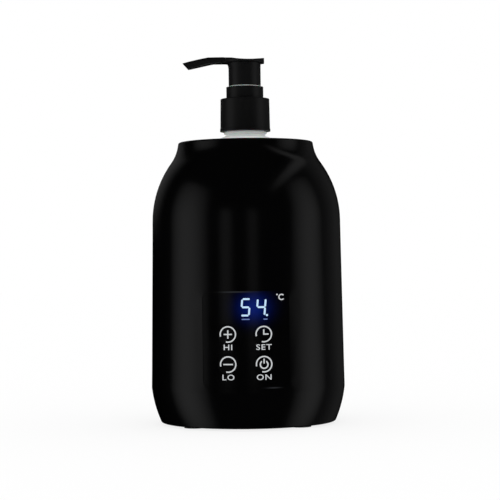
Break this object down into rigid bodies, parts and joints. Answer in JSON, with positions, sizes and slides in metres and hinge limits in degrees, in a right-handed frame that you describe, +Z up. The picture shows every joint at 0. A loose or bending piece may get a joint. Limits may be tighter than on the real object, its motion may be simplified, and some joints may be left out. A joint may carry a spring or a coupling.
{
  "type": "massage oil warmer",
  "caption": "Round table-top oil warmer with a heated well, a front panel with a display and push keys, and a lock-down pump bottle that lifts out.",
  "frame": {"origin": "on the floor, under the upright axis of the housing", "axes": "+Z up along the housing's axis, -Y to the front with the control panel, -X along the pump's spout"},
  "size_m": [0.127, 0.127, 0.2407],
  "materials": {
    "shell_black": "glossy black moulding",
    "panel_lens": "glossy smoked black lens",
    "key_black": "glossy smoked black, printed light icons",
    "ring_black": "satin black moulding",
    "pump_black": "satin black moulding",
    "natural_plastic": "natural milky moulding",
    "bottle_plastic": "milky blown plastic",
    "foot_rubber": "matt black rubber",
    "silicone_red": "matt red silicone",
    "cup_aluminium": "satin spun aluminium",
    "steel": "bright zinc-plated or stainless steel",
    "moulded_black": "fine matt black moulding",
    "board_green": "green solder mask",
    "board_tan": "tan phenolic board",
    "relay_blue": "blue moulding",
    "capacitor_yellow": "yellow moulding",
    "fuse_glass": "clear glass"
  },
  "bodies": {
    "warmer": {"outer_shell": "shell_black", "base_cover": "shell_black", "rubber_feet": "foot_rubber", "base_screws": "steel", "top_ring": "ring_black", "heating_cup": "cup_aluminium", "cup_seal": "silicone_red", "cup_screws": "steel", "heating_band": "silicone_red", "band_straps": "steel", "temperature_sensor": "moulded_black", "sensor_clip": "steel", "thermal_cutoff": "moulded_black", "control_panel": "panel_lens", "control_board": "board_green", "display_module": "moulded_black", "key_switches": "moulded_black", "control_chip": "moulded_black", "buzzer": "moulded_black", "board_screws": "steel", "power_board": "board_tan", "supply_module": "moulded_black", "relay": "relay_blue", "filter_capacitor": "capacitor_yellow", "glass_fuse": "fuse_glass", "power_screws": "steel", "power_inlet": "moulded_black", "inlet_pins": "steel"},
    "up_key": {"key_up": "key_black", "plunger_up": "natural_plastic"},
    "down_key": {"key_down": "key_black", "plunger_down": "natural_plastic"},
    "timer_key": {"key_timer": "key_black", "plunger_timer": "natural_plastic"},
    "start_key": {"key_start": "key_black", "plunger_start": "natural_plastic"},
    "bottle": {"bottle": "bottle_plastic"},
    "pump": {"lock_collar": "natural_plastic", "pump_housing": "natural_plastic", "neck_gasket": "natural_plastic", "valve_ball": "steel", "pump_spring": "steel", "dip_tube": "natural_plastic"},
    "closure": {"closure": "pump_black"},
    "piston": {"pump_piston": "natural_plastic"},
    "head": {"pump_head": "pump_black", "pump_stem": "natural_plastic"}
  },
  "joints": [
    {"name": "bottle_lift", "type": "slide", "parent": "warmer", "child": "bottle", "axis": [0, 0, 1], "range_m": [0, 0.12]},
    {"name": "pump_unscrew_lift", "type": "slide", "parent": "bottle", "child": "pump", "axis": [0, 0, 1], "range_m": [0, 0.0064]},
    {"name": "closure_turn", "type": "hinge", "parent": "pump", "child": "closure", "pos_m": [0, 0, 0.2], "axis": [0, 0, 1], "range_deg": [0, 540]},
    {"name": "pump_stroke", "type": "slide", "parent": "pump", "child": "piston", "axis": [0, 0, 1], "range_m": [0, 0.016], "deforming": ["pump_spring"]},
    {"name": "head_turn", "type": "hinge", "parent": "piston", "child": "head", "pos_m": [0, 0, 0.23], "axis": [0, 0, 1], "continuous": true},
    {"name": "up_press", "type": "slide", "parent": "warmer", "child": "up_key", "axis": [0, 1, 0], "range_m": [0, 0.0005], "stiffness_N_per_m": 1600, "springref_m": -0.0005},
    {"name": "down_press", "type": "slide", "parent": "warmer", "child": "down_key", "axis": [0, 1, 0], "range_m": [0, 0.0005], "stiffness_N_per_m": 1600, "springref_m": -0.0005},
    {"name": "timer_press", "type": "slide", "parent": "warmer", "child": "timer_key", "axis": [0, 1, 0], "range_m": [0, 0.0005], "stiffness_N_per_m": 1600, "springref_m": -0.0005},
    {"name": "start_press", "type": "slide", "parent": "warmer", "child": "start_key", "axis": [0, 1, 0], "range_m": [0, 0.0005], "stiffness_N_per_m": 1600, "springref_m": -0.0005}
  ],
  "couplings": [
    {"joint": "pump_unscrew_lift", "follows": "closure_turn", "m_per_rad": 0.0006737}
  ]
}
